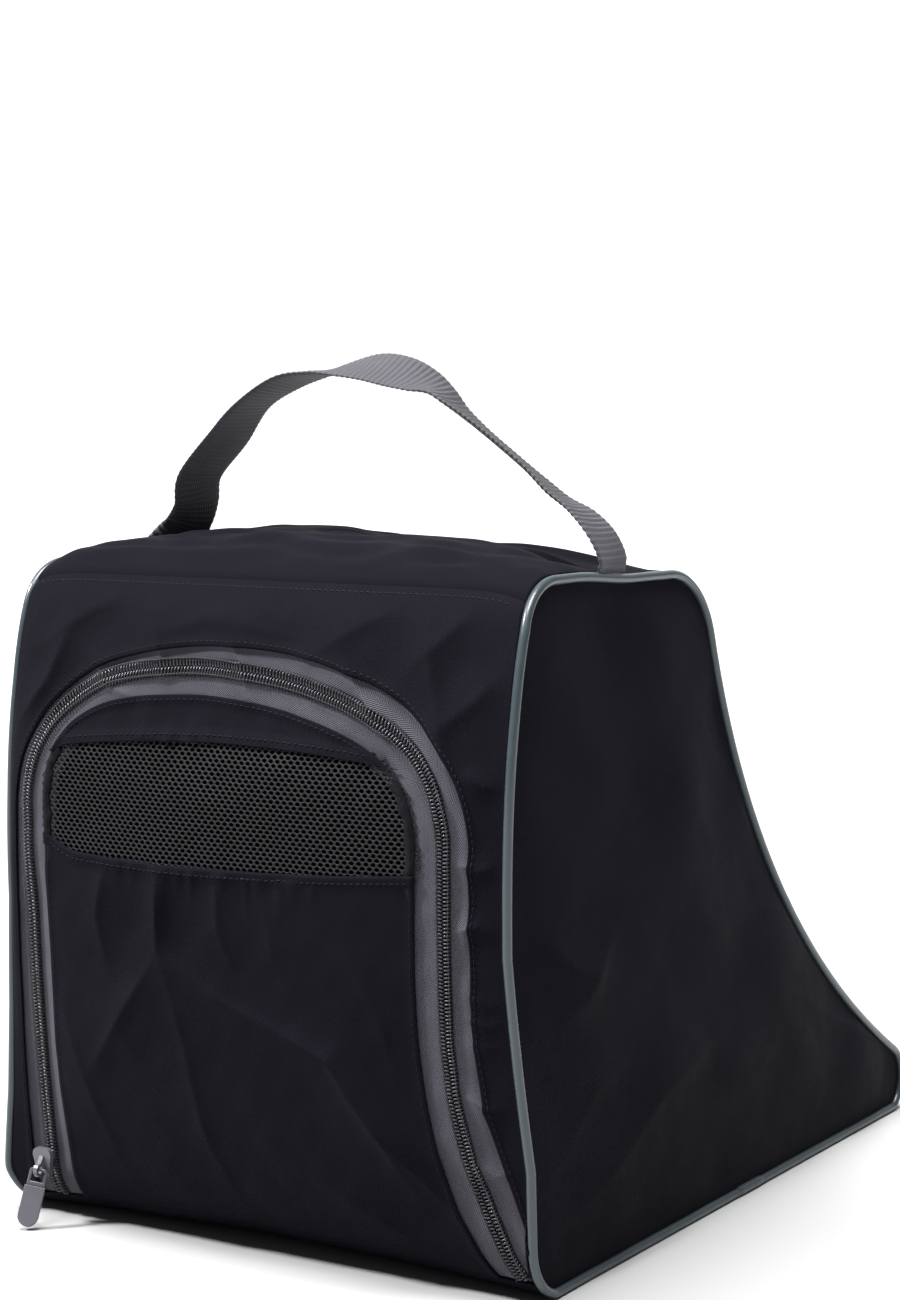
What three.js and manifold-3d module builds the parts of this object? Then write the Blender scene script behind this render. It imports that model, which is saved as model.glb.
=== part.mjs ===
// A wedge-shaped soft shoe bag: a zipped front flap with a mesh window, two piped side panels,
// a back that slopes down to a long toe, and one webbing carry handle.
// Millimetres, +Z up. The origin is the middle of the flat underside, and the front flap faces -Y.
import * as THREE from "three";
import { mergeVertices } from "three/addons/utils/BufferGeometryUtils.js";
import Module from "manifold-3d";

const wasm = await Module();
wasm.setup();

// ---------- driving dimensions ----------
const DEPTH = 400; // front face to toe
const HEIGHT = 300; // underside to top panel
const HALF_BASE = 141; // half the width at the floor
const HALF_TOP = 133; // half the width at the top
const WALL = 2; // coated fabric with its lining
const SEAM_GAP = 0.3; // clearance between neighbouring pieces

const FRONT_Y = -DEPTH / 2;
const BOW_LOW = 8; // degrees, how far the bowed front leans out above its hem
const BOW_HIGH = 22; // degrees, how far it leans back in below its upper corner
const HEM_RADIUS = 30; // front lower corner
const BROW_RADIUS = 34; // front upper corner
const SHOULDER_RADIUS = 42; // back upper corner
const SHOULDER_Y = -60; // centre line of the back upper corner
const SHOULDER_END = 16; // degrees, where the corner runs into the sloping back
const TOE_RADIUS = 18;
const TOE_START = 61.5; // degrees, where the sloping back runs into the toe
const HEM_SEAM = 225; // degrees, front panel meets base panel
const BROW_SEAM = 135; // front panel meets top panel
const SHOULDER_SEAM = 50; // top panel meets back panel
const TOE_SEAM = -20; // back panel meets base panel

const PIPING_RADIUS = 2.1;
const PIPING_SINK = 1; // piping centre line below the fabric surface
const SIDE_INSET = 4.6; // side panel edge inside the outline, behind the piping
const JOINT_START = -2; // the two piping ends cross under a short sleeve
const JOINT_END = 24;
const JOINT_RADIUS = 2.15;

const SWELL = 8; // the stuffed front stands this far forward in its middle
const SWELL_LOW = 28; // full swell between these heights
const SWELL_HIGH = 200;

const BINDING_WIDTH = 10;
const BINDING_THICKNESS = 2.4;
const ARC_STEPS = 6; // points along each curve of the outline
const BOARD_THICKNESS = 2;
const BOARD_FRONT = -160;
const BOARD_BACK = 160;
const BOARD_MARGIN = 11;

// The zip: distances are from its centre line, positive towards the bag and negative towards the flap.
const COIL_GAP = 0.4;
const COIL_EDGE = 4.1;
const FABRIC_EDGE = 13.2;
const TAPE_EDGE = 17.5;
const COIL_NEAR = 0.8; // depths below the bag's surface; the slider's plate passes in front
const COIL_FAR = 2;
const TAPE_FRONT = 2.9;
const TAPE_BACK = 3.9;
const WINDOW_LOW = 177; // mesh window between these heights
const WINDOW_HIGH = 226;
const WINDOW_GAP = 0.4;

const SLIDER_X = -115; // left run of the zip
const SLIDER_Z = 29;
const SLIDER_TRAVEL = 112; // height that the slider climbs along the left run
const PULL_LEAN = 26; // degrees, how the loose pull hangs: leaned out, swung sideways and turned
const PULL_SWING = 15;
const PULL_TURN = 30;

const HANDLE_Y = -115;
const HANDLE_WIDTH = 25;
const HANDLE_THICKNESS = 1.8;
const FOOT_TOP = 323; // the webbing below this height bends when the handle swings

// ---------- materials ----------
function finish(colour, roughness, metalness = 0) {
  return new THREE.MeshStandardMaterial({ color: colour, roughness, metalness });
}
const fabric = finish(0x17171c, 0.6);
const mesh = finish(0x101013, 0.8);
const board = finish(0x202024, 0.7);
const piping = finish(0x46525a, 0.3);
const tape = finish(0x5a5864, 0.85);
const coil = finish(0x3c3a42, 0.45);
const metal = finish(0x6a6772, 0.4, 0.5);
const rubber = finish(0x64616d, 0.6);
const webbing = finish(0x5c5a66, 0.85);
const binding = finish(0x1b1b20, 0.85);

// ---------- helpers ----------
const radians = THREE.MathUtils.degToRad;

function solidOf(geometry) {
  const bare = geometry.clone();
  bare.deleteAttribute("normal");
  bare.deleteAttribute("uv");
  const merged = mergeVertices(bare, 1e-4);
  const vertProperties = merged.attributes.position.array;
  const triVerts = new Uint32Array(merged.index.array);
  return new wasm.Manifold(new wasm.Mesh({ numProp: 3, vertProperties, triVerts }));
}

function geometryOf(solid) {
  const found = solid.getMesh();
  const geometry = new THREE.BufferGeometry();
  geometry.setAttribute("position", new THREE.BufferAttribute(found.vertProperties, 3));
  geometry.setIndex(new THREE.BufferAttribute(found.triVerts, 1));
  geometry.computeVertexNormals();
  return geometry;
}

function node(name, geometry, material) {
  const made = new THREE.Mesh(geometry, material);
  made.name = name;
  return made;
}

// A side-view shape (x is Y, y is Z) extruded across the bag from fromX to toX.
const SIDE_VIEW = new THREE.Matrix4().set(0, 0, 1, 0, 1, 0, 0, 0, 0, 1, 0, 0, 0, 0, 0, 1);
function across(shape, fromX, toX, steps = 1) {
  const options = { depth: toX - fromX, steps, bevelEnabled: false, curveSegments: 8 };
  const geometry = new THREE.ExtrudeGeometry(shape, options);
  return geometry.translate(0, 0, fromX).applyMatrix4(SIDE_VIEW);
}

// A front-view shape (x is X, y is Z) extruded from Y = backY forwards to Y = frontY.
function forwards(shape, frontY, backY) {
  const options = { depth: backY - frontY, bevelEnabled: false, curveSegments: 8 };
  const geometry = new THREE.ExtrudeGeometry(shape, options);
  return geometry.rotateX(Math.PI / 2).translate(0, backY, 0);
}

// Both sides lean in towards the top.
const LEAN = (HALF_BASE - HALF_TOP) / HEIGHT;
function lean(geometry) {
  const position = geometry.attributes.position;
  for (let i = 0; i < position.count; i += 1) {
    const x = position.getX(i);
    position.setX(i, x - Math.sign(x) * LEAN * position.getZ(i));
  }
  return geometry;
}

// A polyline moved to its right by distance, with mitred corners. The ends keep their own normals.
function offset(points, distance, closed = false) {
  const count = points.length;
  return points.map((point, i) => {
    const before = points[closed ? (i + count - 1) % count : Math.max(i - 1, 0)];
    const after = points[closed ? (i + 1) % count : Math.min(i + 1, count - 1)];
    const into = point.clone().sub(before).normalize();
    const out = after.clone().sub(point).normalize();
    const along = into.clone().add(out).normalize();
    const edge = into.lengthSq() > 0 ? into : out;
    const reach = distance / Math.max(along.dot(edge), 0.5);
    return new THREE.Vector2(point.x + along.y * reach, point.y - along.x * reach);
  });
}

function reversed(points) {
  return [...points].reverse();
}

// Where two arcs meet they can repeat a point with a rounding error between the copies.
function distinct(points) {
  return points.filter((point, i) => i === 0 || point.distanceTo(points[i - 1]) > 1e-3);
}

// ---------- the swollen front ----------
const HEM_SEAM_Z = HEM_RADIUS + HEM_RADIUS * Math.sin(radians(HEM_SEAM));
const BROW_SEAM_Z = HEIGHT - BROW_RADIUS + BROW_RADIUS * Math.sin(radians(BROW_SEAM));
const SWELL_STEPS = 10; // across the bag

// How far the front stands forward at a point of it. The seams all round it stay where they are.
function swellAt(x, z) {
  const half = HALF_BASE - SIDE_INSET - LEAN * z;
  const sideways = Math.max(0, 1 - (x / half) ** 4);
  const fromHem = THREE.MathUtils.smoothstep(z, HEM_SEAM_Z, SWELL_LOW);
  const toBrow = 1 - THREE.MathUtils.smoothstep(z, SWELL_HIGH, BROW_SEAM_Z);
  return SWELL * sideways * fromHem * toBrow;
}

function swell(geometry) {
  const position = geometry.attributes.position;
  for (let i = 0; i < position.count; i += 1) {
    position.setY(i, position.getY(i) - swellAt(position.getX(i), position.getZ(i)));
  }
  return geometry;
}

// ---------- the outline in side view, clockwise from the front hem ----------
const onCircle = (y, z, radius, degrees) =>
  new THREE.Vector2(y + radius * Math.cos(radians(degrees)), z + radius * Math.sin(radians(degrees)));
const HEM = [FRONT_Y + HEM_RADIUS, HEM_RADIUS, HEM_RADIUS];
const BROW = [FRONT_Y + BROW_RADIUS, HEIGHT - BROW_RADIUS, BROW_RADIUS];
const SHOULDER = [SHOULDER_Y, HEIGHT - SHOULDER_RADIUS, SHOULDER_RADIUS];
const TOE = [DEPTH / 2 - TOE_RADIUS, TOE_RADIUS, TOE_RADIUS];

// Adds an arc of a corner, running clockwise, between two angles in degrees.
function turn(path, corner, from, to) {
  const [y, z, radius] = corner;
  path.absarc(y, z, radius, radians(from), radians(to), true);
}

// Runs smoothly from one corner to the next: the control point is where the two end tangents cross.
function sweep(path, corner, leavingDegrees, nextCorner, arrivingDegrees) {
  const start = onCircle(...corner, leavingDegrees);
  const end = onCircle(...nextCorner, arrivingDegrees);
  const leaving = onCircle(0, 0, 1, leavingDegrees - 90);
  const arriving = onCircle(0, 0, 1, arrivingDegrees - 90);
  const gap = end.clone().sub(start);
  const reach = gap.cross(arriving) / leaving.cross(arriving);
  const control = start.clone().addScaledVector(leaving, reach);
  path.quadraticCurveTo(control.x, control.y, end.x, end.y);
}

const gapAngle = (radius) => THREE.MathUtils.radToDeg(SEAM_GAP / radius / 2);
const STRETCHES = {
  front: (path, gap) => {
    turn(path, HEM, HEM_SEAM - gap * gapAngle(HEM_RADIUS), 180 + BOW_LOW);
    sweep(path, HEM, 180 + BOW_LOW, BROW, 180 - BOW_HIGH);
    turn(path, BROW, 180 - BOW_HIGH, BROW_SEAM + gap * gapAngle(BROW_RADIUS));
  },
  top: (path, gap) => {
    turn(path, BROW, BROW_SEAM - gap * gapAngle(BROW_RADIUS), 90);
    turn(path, SHOULDER, 90, SHOULDER_SEAM + gap * gapAngle(SHOULDER_RADIUS));
  },
  back: (path, gap) => {
    turn(path, SHOULDER, SHOULDER_SEAM - gap * gapAngle(SHOULDER_RADIUS), SHOULDER_END);
    sweep(path, SHOULDER, SHOULDER_END, TOE, TOE_START);
    turn(path, TOE, TOE_START, TOE_SEAM + gap * gapAngle(TOE_RADIUS));
  },
  base: (path, gap) => {
    turn(path, TOE, TOE_SEAM - gap * gapAngle(TOE_RADIUS), -90);
    turn(path, HEM, 270, HEM_SEAM + gap * gapAngle(HEM_RADIUS));
  },
};

function stretchPoints(name, gap) {
  const path = new THREE.Path();
  STRETCHES[name](path, gap);
  return distinct(path.getPoints(ARC_STEPS));
}

// The fabric of one stretch, between two depths below the outline, across the bag.
function band(name, outerDepth, innerDepth) {
  const line = stretchPoints(name, 1);
  const shape = new THREE.Shape([...offset(line, outerDepth), ...reversed(offset(line, innerDepth))]);
  const half = HALF_BASE - SIDE_INSET;
  if (name !== "front") return lean(across(shape, -half, half));
  return swell(lean(across(shape, -half, half, SWELL_STEPS)));
}

function outlinePoints(distance) {
  const path = new THREE.Path();
  Object.values(STRETCHES).forEach((add) => add(path, 0));
  const points = distinct(path.getPoints(ARC_STEPS));
  if (points[0].distanceTo(points.at(-1)) < 1e-3) points.pop();
  return offset(points, distance, true);
}

// ---------- panels ----------
function sidePanel(side) {
  const shape = new THREE.Shape(outlinePoints(SIDE_INSET));
  const outer = HALF_BASE - PIPING_RADIUS + WALL / 2;
  const from = side > 0 ? outer - WALL : -outer;
  return lean(across(shape, from, from + WALL));
}

function sideBinding(side) {
  const shape = new THREE.Shape(outlinePoints(SIDE_INSET + 1));
  shape.holes.push(new THREE.Path(reversed(outlinePoints(SIDE_INSET + 1 + BINDING_WIDTH))));
  const outer = HALF_BASE - PIPING_RADIUS - WALL / 2 - SEAM_GAP;
  const from = side > 0 ? outer - BINDING_THICKNESS : -outer;
  return lean(across(shape, from, from + BINDING_THICKNESS));
}

// Bound seam allowance that stands in from a corner seam, across the bag.
function cornerBinding(corner, degrees) {
  const [y, z, radius] = corner;
  const outer = radius - TAPE_BACK - SEAM_GAP;
  const shape = new THREE.Shape();
  const half = BINDING_THICKNESS / 2;
  shape.moveTo(outer - BINDING_WIDTH, -half).lineTo(outer, -half);
  shape.lineTo(outer, half).lineTo(outer - BINDING_WIDTH, half);
  const reach = HALF_BASE - SIDE_INSET - BINDING_WIDTH;
  const middle = new THREE.Vector2(0, 0);
  const place = (p) => p.rotateAround(middle, radians(degrees)).add(new THREE.Vector2(y, z));
  const placed = new THREE.Shape(shape.getPoints().map(place));
  return lean(across(placed, -reach, reach));
}

function baseBoard() {
  const shape = new THREE.Shape();
  const low = WALL + SEAM_GAP;
  shape.moveTo(BOARD_FRONT, low).lineTo(BOARD_BACK, low);
  shape.lineTo(BOARD_BACK, low + BOARD_THICKNESS).lineTo(BOARD_FRONT, low + BOARD_THICKNESS);
  const half = HALF_BASE - BOARD_MARGIN;
  return across(shape, -half, half);
}

// ---------- piping ----------
class Polyline3 extends THREE.CurvePath {
  constructor(points) {
    super();
    points.slice(1).forEach((point, i) => this.add(new THREE.LineCurve3(points[i], point)));
  }
}

function tube(points, radius, sides, steps) {
  const section = new THREE.Shape().absarc(0, 0, radius, 0, 2 * Math.PI);
  const options = { steps, extrudePath: new Polyline3(points), curveSegments: sides / 2 };
  return new THREE.ExtrudeGeometry(section, options);
}

// The piping goes once round the side panel, from one end of its joint to the other, and never
// lies below the floor.
function pipingLine(side) {
  const ring = outlinePoints(PIPING_SINK);
  const spansJoint = (p, i) => {
    const next = ring[(i + 1) % ring.length];
    const onFloor = p.y < PIPING_RADIUS && next.y < PIPING_RADIUS;
    return onFloor && p.x > JOINT_END && next.x < JOINT_START;
  };
  const start = ring.findIndex(spansJoint);
  const inOrder = [...ring.slice(start + 1), ...ring.slice(0, start + 1)];
  const first = new THREE.Vector2(JOINT_START - SEAM_GAP, 0);
  const last = new THREE.Vector2(JOINT_END + SEAM_GAP, 0);
  const line = [first, ...inOrder, last];
  const x = side * (HALF_BASE - PIPING_RADIUS);
  return line.map((p) => new THREE.Vector3(x, p.x, Math.max(p.y, PIPING_RADIUS)));
}

function pipingTube(side) {
  return lean(tube(pipingLine(side), PIPING_RADIUS, 6, 110));
}

function pipingJoint(side) {
  const x = side * (HALF_BASE - PIPING_RADIUS);
  const ends = [JOINT_START, JOINT_END].map((y) => new THREE.Vector3(x, y, JOINT_RADIUS));
  return lean(tube(ends, JOINT_RADIUS, 12, 2));
}

// ---------- the zip and what it cuts ----------
// Its centre line in front view, from the lower left end over the arch to the lower right end,
// which runs out into the corner.
function zipLine() {
  const path = new THREE.Path();
  path.moveTo(SLIDER_X, 4);
  path.lineTo(SLIDER_X, 194);
  path.bezierCurveTo(SLIDER_X, 232, -92, 251, -56, 256);
  path.quadraticCurveTo(-8, 263, 46, 252);
  path.bezierCurveTo(82, 245, 105, 230, 107, 194);
  path.lineTo(107, 130);
  path.bezierCurveTo(107, 92, 114, 52, 135, 4);
  return path.getPoints(6);
}

// Everything inside the zip line moved by distance, open below the floor.
const BELOW = -20;
function flapPrism(distance) {
  const line = offset(zipLine(), -distance);
  const closed = [new THREE.Vector2(line[0].x, BELOW), ...line, new THREE.Vector2(line.at(-1).x, BELOW)];
  return solidOf(forwards(new THREE.Shape(reversed(closed)), FRONT_Y - 40, FRONT_Y + 60));
}

function slab(lowZ, highZ) {
  const size = 2 * DEPTH;
  const box = new THREE.BoxGeometry(size, size, highZ - lowZ);
  return solidOf(box.translate(0, 0, (lowZ + highZ) / 2));
}

const frontFabric = solidOf(band("front", 0, WALL));
const frontCoil = solidOf(band("front", COIL_NEAR, COIL_FAR));
const frontTape = solidOf(band("front", TAPE_FRONT, TAPE_BACK));
const ringOf = (inner, outer) => flapPrism(outer).subtract(flapPrism(inner));

const frontPanel = frontFabric.subtract(flapPrism(FABRIC_EDGE));
const flapFabric = frontFabric.intersect(flapPrism(-FABRIC_EDGE));
const flapPart = (lowZ, highZ) => geometryOf(flapFabric.intersect(slab(lowZ, highZ)));

// ---------- slider and pull ----------
// The slider rides on the flap's half of the zip: its front plate covers both coils, and its neck
// and back plate stay on the flap's side, so the flap can swing open with it. It is drawn upright
// with its origin on the bag's front, and leans with the run that it climbs.
function frontSurface(z) {
  const line = stretchPoints("front", 1);
  const above = line.findIndex((point) => point.y > z);
  const share = (z - line[above - 1].y) / (line[above].y - line[above - 1].y);
  return THREE.MathUtils.lerp(line[above - 1].x, line[above].x, share) - swellAt(SLIDER_X, z);
}

const SLIDER_Y = frontSurface(SLIDER_Z);
const CLIMB = SLIDER_Y - frontSurface(SLIDER_Z + SLIDER_TRAVEL);
const SLIDER_LEAN = Math.atan2(CLIMB, SLIDER_TRAVEL);
const PLATE_FRONT = -3.4;
const PLATE_BACK = -1;
const BACK_PLATE_FRONT = TAPE_BACK + 1.8;
const BACK_PLATE_BACK = BACK_PLATE_FRONT + 1.4;
const NECK_HALF = 0.2;
const HINGE_Y = PLATE_FRONT - 2.4; // pull hinge in front of the plate
const HINGE_Z = -3;
const CROWN_RADIUS = 3.2;
const CROWN_HOLE = 1.8;
const CROWN_HALF = 1.1;

function boxBetween(low, high) {
  const size = high.clone().sub(low);
  const middle = low.clone().add(high).multiplyScalar(0.5);
  return new THREE.BoxGeometry(size.x, size.y, size.z).translate(middle.x, middle.y, middle.z);
}

function sliderBody() {
  const plate = new THREE.Shape();
  plate.moveTo(-3.6, -6.5).lineTo(3.6, -6.5).lineTo(4.4, -1).lineTo(5.2, 3);
  plate.quadraticCurveTo(5.2, 6.5, 2.2, 6.5).lineTo(-2.2, 6.5);
  plate.quadraticCurveTo(-5.2, 6.5, -5.2, 3).lineTo(-4.4, -1);
  const front = solidOf(forwards(plate, PLATE_FRONT, PLATE_BACK));
  const neck = boxBetween(
    new THREE.Vector3(-NECK_HALF, PLATE_BACK - 0.5, -4),
    new THREE.Vector3(NECK_HALF, BACK_PLATE_BACK, 4),
  );
  const back = boxBetween(
    new THREE.Vector3(-NECK_HALF, BACK_PLATE_FRONT, -4),
    new THREE.Vector3(4.4, BACK_PLATE_BACK, 4),
  );
  return geometryOf(front.add(solidOf(neck)).add(solidOf(back)));
}

// The bridge that holds the pull: a thin ear with a cross hole.
function sliderCrown() {
  const ear = new THREE.Shape();
  const foot = PLATE_FRONT - SEAM_GAP / 2;
  ear.moveTo(foot, HINGE_Z - CROWN_RADIUS).lineTo(foot, HINGE_Z + CROWN_RADIUS + 3);
  ear.lineTo(HINGE_Y, HINGE_Z + CROWN_RADIUS);
  ear.absarc(HINGE_Y, HINGE_Z, CROWN_RADIUS, radians(90), radians(270), false);
  ear.holes.push(new THREE.Path().absarc(HINGE_Y, HINGE_Z, CROWN_HOLE, 0, 2 * Math.PI));
  return across(ear, -CROWN_HALF, CROWN_HALF);
}

const LINK_HALF = 4.2;
const LINK_BAR = 0.7;
const LINK_HOLE_HALF = 2.8;
const LINK_END = 7.2;
const GRIP_START = LINK_END + 0.3;
const GRIP_END = 26;
const GRIP_HALF = 4.8;
const GRIP_THICKNESS = 2.6;

// Shapes drawn hanging straight down from the hinge at the origin.
function hung(shape, thickness) {
  const bevel = { bevelThickness: 0.3, bevelSize: 0.3, bevelOffset: -0.3, bevelSegments: 2 };
  const geometry = new THREE.ExtrudeGeometry(shape, { depth: thickness - 0.6, curveSegments: 6, ...bevel });
  return geometry.translate(0, 0, 0.3 - thickness / 2).rotateX(Math.PI / 2);
}

function pullLink() {
  const ring = new THREE.Shape();
  ring.moveTo(-LINK_HALF + 1.6, LINK_BAR).lineTo(LINK_HALF - 1.6, LINK_BAR);
  ring.quadraticCurveTo(LINK_HALF, LINK_BAR, LINK_HALF, -1).lineTo(LINK_HALF, -LINK_END);
  ring.lineTo(-LINK_HALF, -LINK_END).lineTo(-LINK_HALF, -1);
  ring.quadraticCurveTo(-LINK_HALF, LINK_BAR, -LINK_HALF + 1.6, LINK_BAR);
  const hole = new THREE.Path();
  hole.moveTo(-LINK_HOLE_HALF, -LINK_BAR).lineTo(-LINK_HOLE_HALF, 1.8 - LINK_END);
  hole.lineTo(LINK_HOLE_HALF, 1.8 - LINK_END).lineTo(LINK_HOLE_HALF, -LINK_BAR);
  ring.holes.push(hole);
  return hung(ring, 2 * LINK_BAR);
}

function pullGrip() {
  const tab = new THREE.Shape();
  tab.moveTo(-GRIP_HALF, -GRIP_START).lineTo(-GRIP_HALF, GRIP_HALF - GRIP_END);
  tab.absarc(0, GRIP_HALF - GRIP_END, GRIP_HALF, Math.PI, 2 * Math.PI, false);
  tab.lineTo(GRIP_HALF, -GRIP_START);
  return hung(tab, GRIP_THICKNESS);
}

// ---------- handle ----------
// The webbing rises from both upper side seams in one loose arch.
function webbingArch() {
  const arch = [
    [-129, 303.2], [-113, 308], [-102, 320], [-95, 343], [-74, 368], [-48, 384], [-15, 391],
    [16, 390], [44, 382], [69, 365], [95, 343], [118, 323], [129, 304],
  ];
  const curve = new THREE.CatmullRomCurve3(arch.map(([x, z]) => new THREE.Vector3(x, HANDLE_Y, z)));
  const line = curve.getSpacedPoints(40).map((p) => new THREE.Vector2(p.x, p.z));
  const half = HANDLE_THICKNESS / 2;
  const shape = new THREE.Shape([...offset(line, -half), ...reversed(offset(line, half))]);
  return solidOf(forwards(shape, HANDLE_Y - HANDLE_WIDTH / 2, HANDLE_Y + HANDLE_WIDTH / 2));
}

function handleStrap() {
  return geometryOf(webbingArch().intersect(slab(FOOT_TOP, HEIGHT + DEPTH)));
}

function handleFoot(side) {
  const nearMiddle = new THREE.Vector3(0, -DEPTH, HEIGHT);
  const outside = new THREE.Vector3(side * DEPTH, DEPTH, FOOT_TOP - SEAM_GAP);
  const region = new THREE.Box3().setFromPoints([nearMiddle, outside]);
  return geometryOf(webbingArch().intersect(solidOf(boxBetween(region.min, region.max))));
}

// ---------- the bag ----------
const bag = new THREE.Group();
bag.add(
  node("front_panel", geometryOf(frontPanel), fabric),
  node("top_panel", band("top", 0, WALL), fabric),
  node("back_panel", band("back", 0, WALL), fabric),
  node("base_panel", band("base", 0, WALL), fabric),
  node("base_board", baseBoard(), board),
  node("zip_tape_frame", geometryOf(frontTape.intersect(ringOf(COIL_GAP, TAPE_EDGE))), tape),
  node("zip_coil_frame", geometryOf(frontCoil.intersect(ringOf(COIL_GAP, COIL_EDGE))), coil),
  node("front_top_binding", cornerBinding(BROW, BROW_SEAM), binding),
  node("back_top_binding", cornerBinding(SHOULDER, SHOULDER_SEAM), binding),
  node("toe_binding", cornerBinding(TOE, TOE_SEAM), binding),
  node("hem_binding", cornerBinding(HEM, HEM_SEAM), binding),
);
[["left", -1], ["right", 1]].forEach(([word, side]) => {
  bag.add(
    node(`${word}_side_panel`, sidePanel(side), fabric),
    node(`${word}_side_binding`, sideBinding(side), binding),
    node(`${word}_piping`, pipingTube(side), piping),
    node(`${word}_piping_joint`, pipingJoint(side), piping),
    node(`${word}_handle_foot`, handleFoot(side), webbing),
  );
});

const flap = new THREE.Group();
flap.add(
  node("flap_lower_panel", flapPart(BELOW, WINDOW_LOW), fabric),
  node("flap_window_mesh", flapPart(WINDOW_LOW + WINDOW_GAP, WINDOW_HIGH - WINDOW_GAP), mesh),
  node("flap_top_band", flapPart(WINDOW_HIGH, HEIGHT), fabric),
  node("zip_tape_flap", geometryOf(frontTape.intersect(ringOf(-TAPE_EDGE, -COIL_GAP))), tape),
  node("zip_coil_flap", geometryOf(frontCoil.intersect(ringOf(-COIL_EDGE, -COIL_GAP))), coil),
);

const slider = new THREE.Group();
slider.position.set(SLIDER_X, SLIDER_Y, SLIDER_Z);
slider.rotation.x = SLIDER_LEAN;
slider.add(node("slider_body", sliderBody(), metal), node("slider_crown", sliderCrown(), metal));

const pull = new THREE.Group();
pull.position.set(0, HINGE_Y, HINGE_Z);
pull.rotation.set(-radians(PULL_LEAN), radians(PULL_SWING), radians(PULL_TURN), "ZYX");
pull.add(node("pull_link", pullLink(), metal), node("pull_grip", pullGrip(), rubber));

slider.add(pull);
flap.add(slider);
bag.add(flap, node("handle_strap", handleStrap(), webbing));

export default bag;
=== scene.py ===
"""The looks of a shoe bag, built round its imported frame.

Lengths are in millimetres in this script and in metres in the scene. The bag's skin is a map from flat
cloth coordinates to space, so every strip, stitch and tooth that lies on it follows the same surface.
"""

import math

import bpy
import numpy as np
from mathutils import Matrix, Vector


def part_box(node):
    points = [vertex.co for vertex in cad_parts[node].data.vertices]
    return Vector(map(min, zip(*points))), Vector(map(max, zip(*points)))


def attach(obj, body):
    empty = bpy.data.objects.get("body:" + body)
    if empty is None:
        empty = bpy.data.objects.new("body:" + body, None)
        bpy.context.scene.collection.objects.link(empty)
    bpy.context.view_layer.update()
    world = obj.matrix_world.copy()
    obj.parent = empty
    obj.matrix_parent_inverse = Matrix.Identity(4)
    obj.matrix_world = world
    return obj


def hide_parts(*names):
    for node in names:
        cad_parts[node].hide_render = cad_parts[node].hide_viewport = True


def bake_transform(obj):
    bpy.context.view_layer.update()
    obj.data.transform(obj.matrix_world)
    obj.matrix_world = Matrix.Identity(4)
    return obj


MM = 0.001
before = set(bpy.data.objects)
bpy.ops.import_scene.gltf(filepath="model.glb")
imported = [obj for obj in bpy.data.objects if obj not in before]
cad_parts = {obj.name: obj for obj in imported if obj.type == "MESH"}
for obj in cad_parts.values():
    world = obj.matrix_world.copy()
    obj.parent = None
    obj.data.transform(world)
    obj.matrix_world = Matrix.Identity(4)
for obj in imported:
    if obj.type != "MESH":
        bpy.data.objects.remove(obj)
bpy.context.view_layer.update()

# ---------- sizes ----------
HALF_BASE = 141.0
LEAN = 8 / 300
SIDE_INSET = 4.6
PIPING_RADIUS = 2.1
SWELL = 8.0
HEM_Z = 8.8
BROW_Z = 290.0
# Rounded corners of the outline in side view: middle (Y, Z) and radius.
HEM = (-170, 30, 30)
BROW = (-166, 266, 34)
SHOULDER = (-60, 258, 42)
TOE = (182, 18, 18)
SLIDER_X = -115.0
COIL_PITCH = 1.6
COIL_REACH = 2.8
COIL_SEAM = 2.65
TAPE_EDGE = 17.5
TAPE_OUT = -1.3
# Heights of the sewn edges that the gathers start from, below and above the net.
WINDOW_LOW = 177.0
WINDOW_HIGH = 226.0
STRAP_HALF = 12.5
RIB_PITCH = 2.9
SIDES = ((-1, "left"), (1, "right"))
BAG_MIDDLE = np.array([0.0, -40.0, 130.0])


def smooth(value, low, high):
    t = np.clip((value - low) / (high - low), 0, 1)
    return t * t * (3 - 2 * t)


def bell(value, middle, width):
    return np.exp(-(((value - middle) / width) ** 2))


# ---------- the outline in side view ----------
def on_circle(corner, degrees):
    y, z, radius = corner
    a = np.radians(degrees)
    return np.stack([y + radius * np.cos(a), z + radius * np.sin(a)], -1)


def turn(corner, start, end):
    return on_circle(corner, np.linspace(start, end, 30))


def cross(a, b):
    return a[0] * b[1] - a[1] * b[0]


def sweep(corner, leaving, next_corner, arriving):
    """Runs smoothly from one corner to the next, as a quadratic curve."""
    start, end = on_circle(corner, leaving), on_circle(next_corner, arriving)
    away, towards = on_circle((0, 0, 1), leaving - 90), on_circle((0, 0, 1), arriving - 90)
    gap = end - start
    control = start + away * cross(gap, towards) / cross(away, towards)
    t = np.linspace(0, 1, 80)[:, None]
    return (1 - t) ** 2 * start + 2 * t * (1 - t) * control + t * t * end


def lengths(line):
    steps = np.linalg.norm(np.diff(line, axis=0), axis=1)
    return np.concatenate([[0], np.cumsum(steps)])


def values_at(wanted, at, table):
    """The columns of a table, known at increasing values, read at the wanted ones."""
    return np.stack([np.interp(wanted, at, column) for column in table.T], -1)


def resample(line, count):
    """count points evenly spaced along a polyline."""
    s = lengths(line)
    return values_at(np.linspace(0, s[-1], count), s, line)


def joined(*parts):
    line = np.concatenate(parts)
    keep = np.r_[True, np.linalg.norm(np.diff(line, axis=0), axis=1) > 1e-6]
    return line[keep]


FRONT = joined(turn(HEM, 225, 188), sweep(HEM, 188, BROW, 158), turn(BROW, 158, 135))
TOP = joined(turn(BROW, 135, 90), turn(SHOULDER, 90, 50))
BACK = joined(turn(SHOULDER, 50, 16), sweep(SHOULDER, 16, TOE, 61.5), turn(TOE, 61.5, -20))
BASE = joined(turn(TOE, -20, -90), turn(HEM, 270, 225))
OUTLINE = joined(FRONT, TOP, BACK, BASE)


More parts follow.
